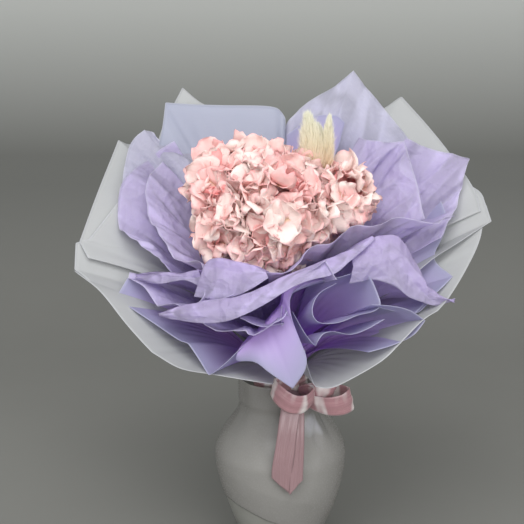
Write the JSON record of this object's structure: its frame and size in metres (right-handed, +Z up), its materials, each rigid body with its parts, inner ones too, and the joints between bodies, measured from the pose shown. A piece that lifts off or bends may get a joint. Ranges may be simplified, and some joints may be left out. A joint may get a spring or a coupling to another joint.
{
  "type": "hydrangea bouquet in a jar",
  "caption": "A pink hydrangea head with bunny tail grass, wrapped in lavender tissue, lavender film and frosted film, standing in a frosted glass jar tied with a satin ribbon.",
  "frame": {"origin": "centre of the jar's foot, on the surface that it stands on", "axes": "+Z up, -Y towards the side that the bouquet faces, +X to the right as seen from there"},
  "size_m": [0.3791, 0.2496, 0.4355],
  "materials": {
    "jar_glass": "frosted",
    "frosted_film": "translucent matte",
    "lavender_film": "translucent matte",
    "tissue": "crumpled",
    "satin": "satin",
    "petals": "matte",
    "grass": "fuzzy",
    "stem": "matte",
    "twine": "matte"
  },
  "bodies": {
    "root": {"jar": "jar_glass", "film_skirt": "frosted_film", "film_back_left": "frosted_film", "film_back_right": "frosted_film", "film_left": "frosted_film", "film_left_fold": "frosted_film", "film_right": "frosted_film", "film_front_left": "frosted_film", "film_front_right": "frosted_film", "lavender_back_left": "lavender_film", "lavender_back_right": "lavender_film", "lavender_right": "lavender_film", "lavender_right_low": "lavender_film", "lavender_front_right": "lavender_film", "lavender_front": "lavender_film", "lavender_front_left": "lavender_film", "tissue_back_right": "tissue", "tissue_back_left": "tissue", "tissue_right": "tissue", "tissue_left": "tissue", "tissue_right_inner": "tissue", "tissue_front_right": "tissue", "tissue_front_low": "tissue", "tissue_left_inner": "tissue", "tissue_front": "tissue", "tissue_front_left": "tissue", "tissue_under_flower": "tissue", "floret_cluster_crown": "petals", "floret_cluster_inner_1": "petals", "floret_cluster_inner_2": "petals", "floret_cluster_inner_3": "petals", "floret_cluster_inner_4": "petals", "floret_cluster_inner_5": "petals", "floret_cluster_outer_0": "petals", "floret_cluster_outer_1": "petals", "floret_cluster_outer_2": "petals", "floret_cluster_outer_3": "petals", "floret_cluster_outer_4": "petals", "floret_cluster_outer_5": "petals", "floret_cluster_outer_6": "petals", "floret_cluster_outer_7": "petals", "floret_cluster_outer_8": "petals", "floret_cluster_outer_9": "petals", "hydrangea_stem": "stem", "bunny_tail_left": "grass", "bunny_tail_middle": "grass", "bunny_tail_right": "grass", "bunny_tail_left_stem": "stem", "bunny_tail_middle_stem": "stem", "bunny_tail_right_stem": "stem", "stem_tie": "twine", "ribbon_band": "satin", "ribbon_knot": "satin", "ribbon_loop_left": "satin", "ribbon_loop_right": "satin", "ribbon_tail_front": "satin", "ribbon_tail_back": "satin"}
  },
  "joints": []
}
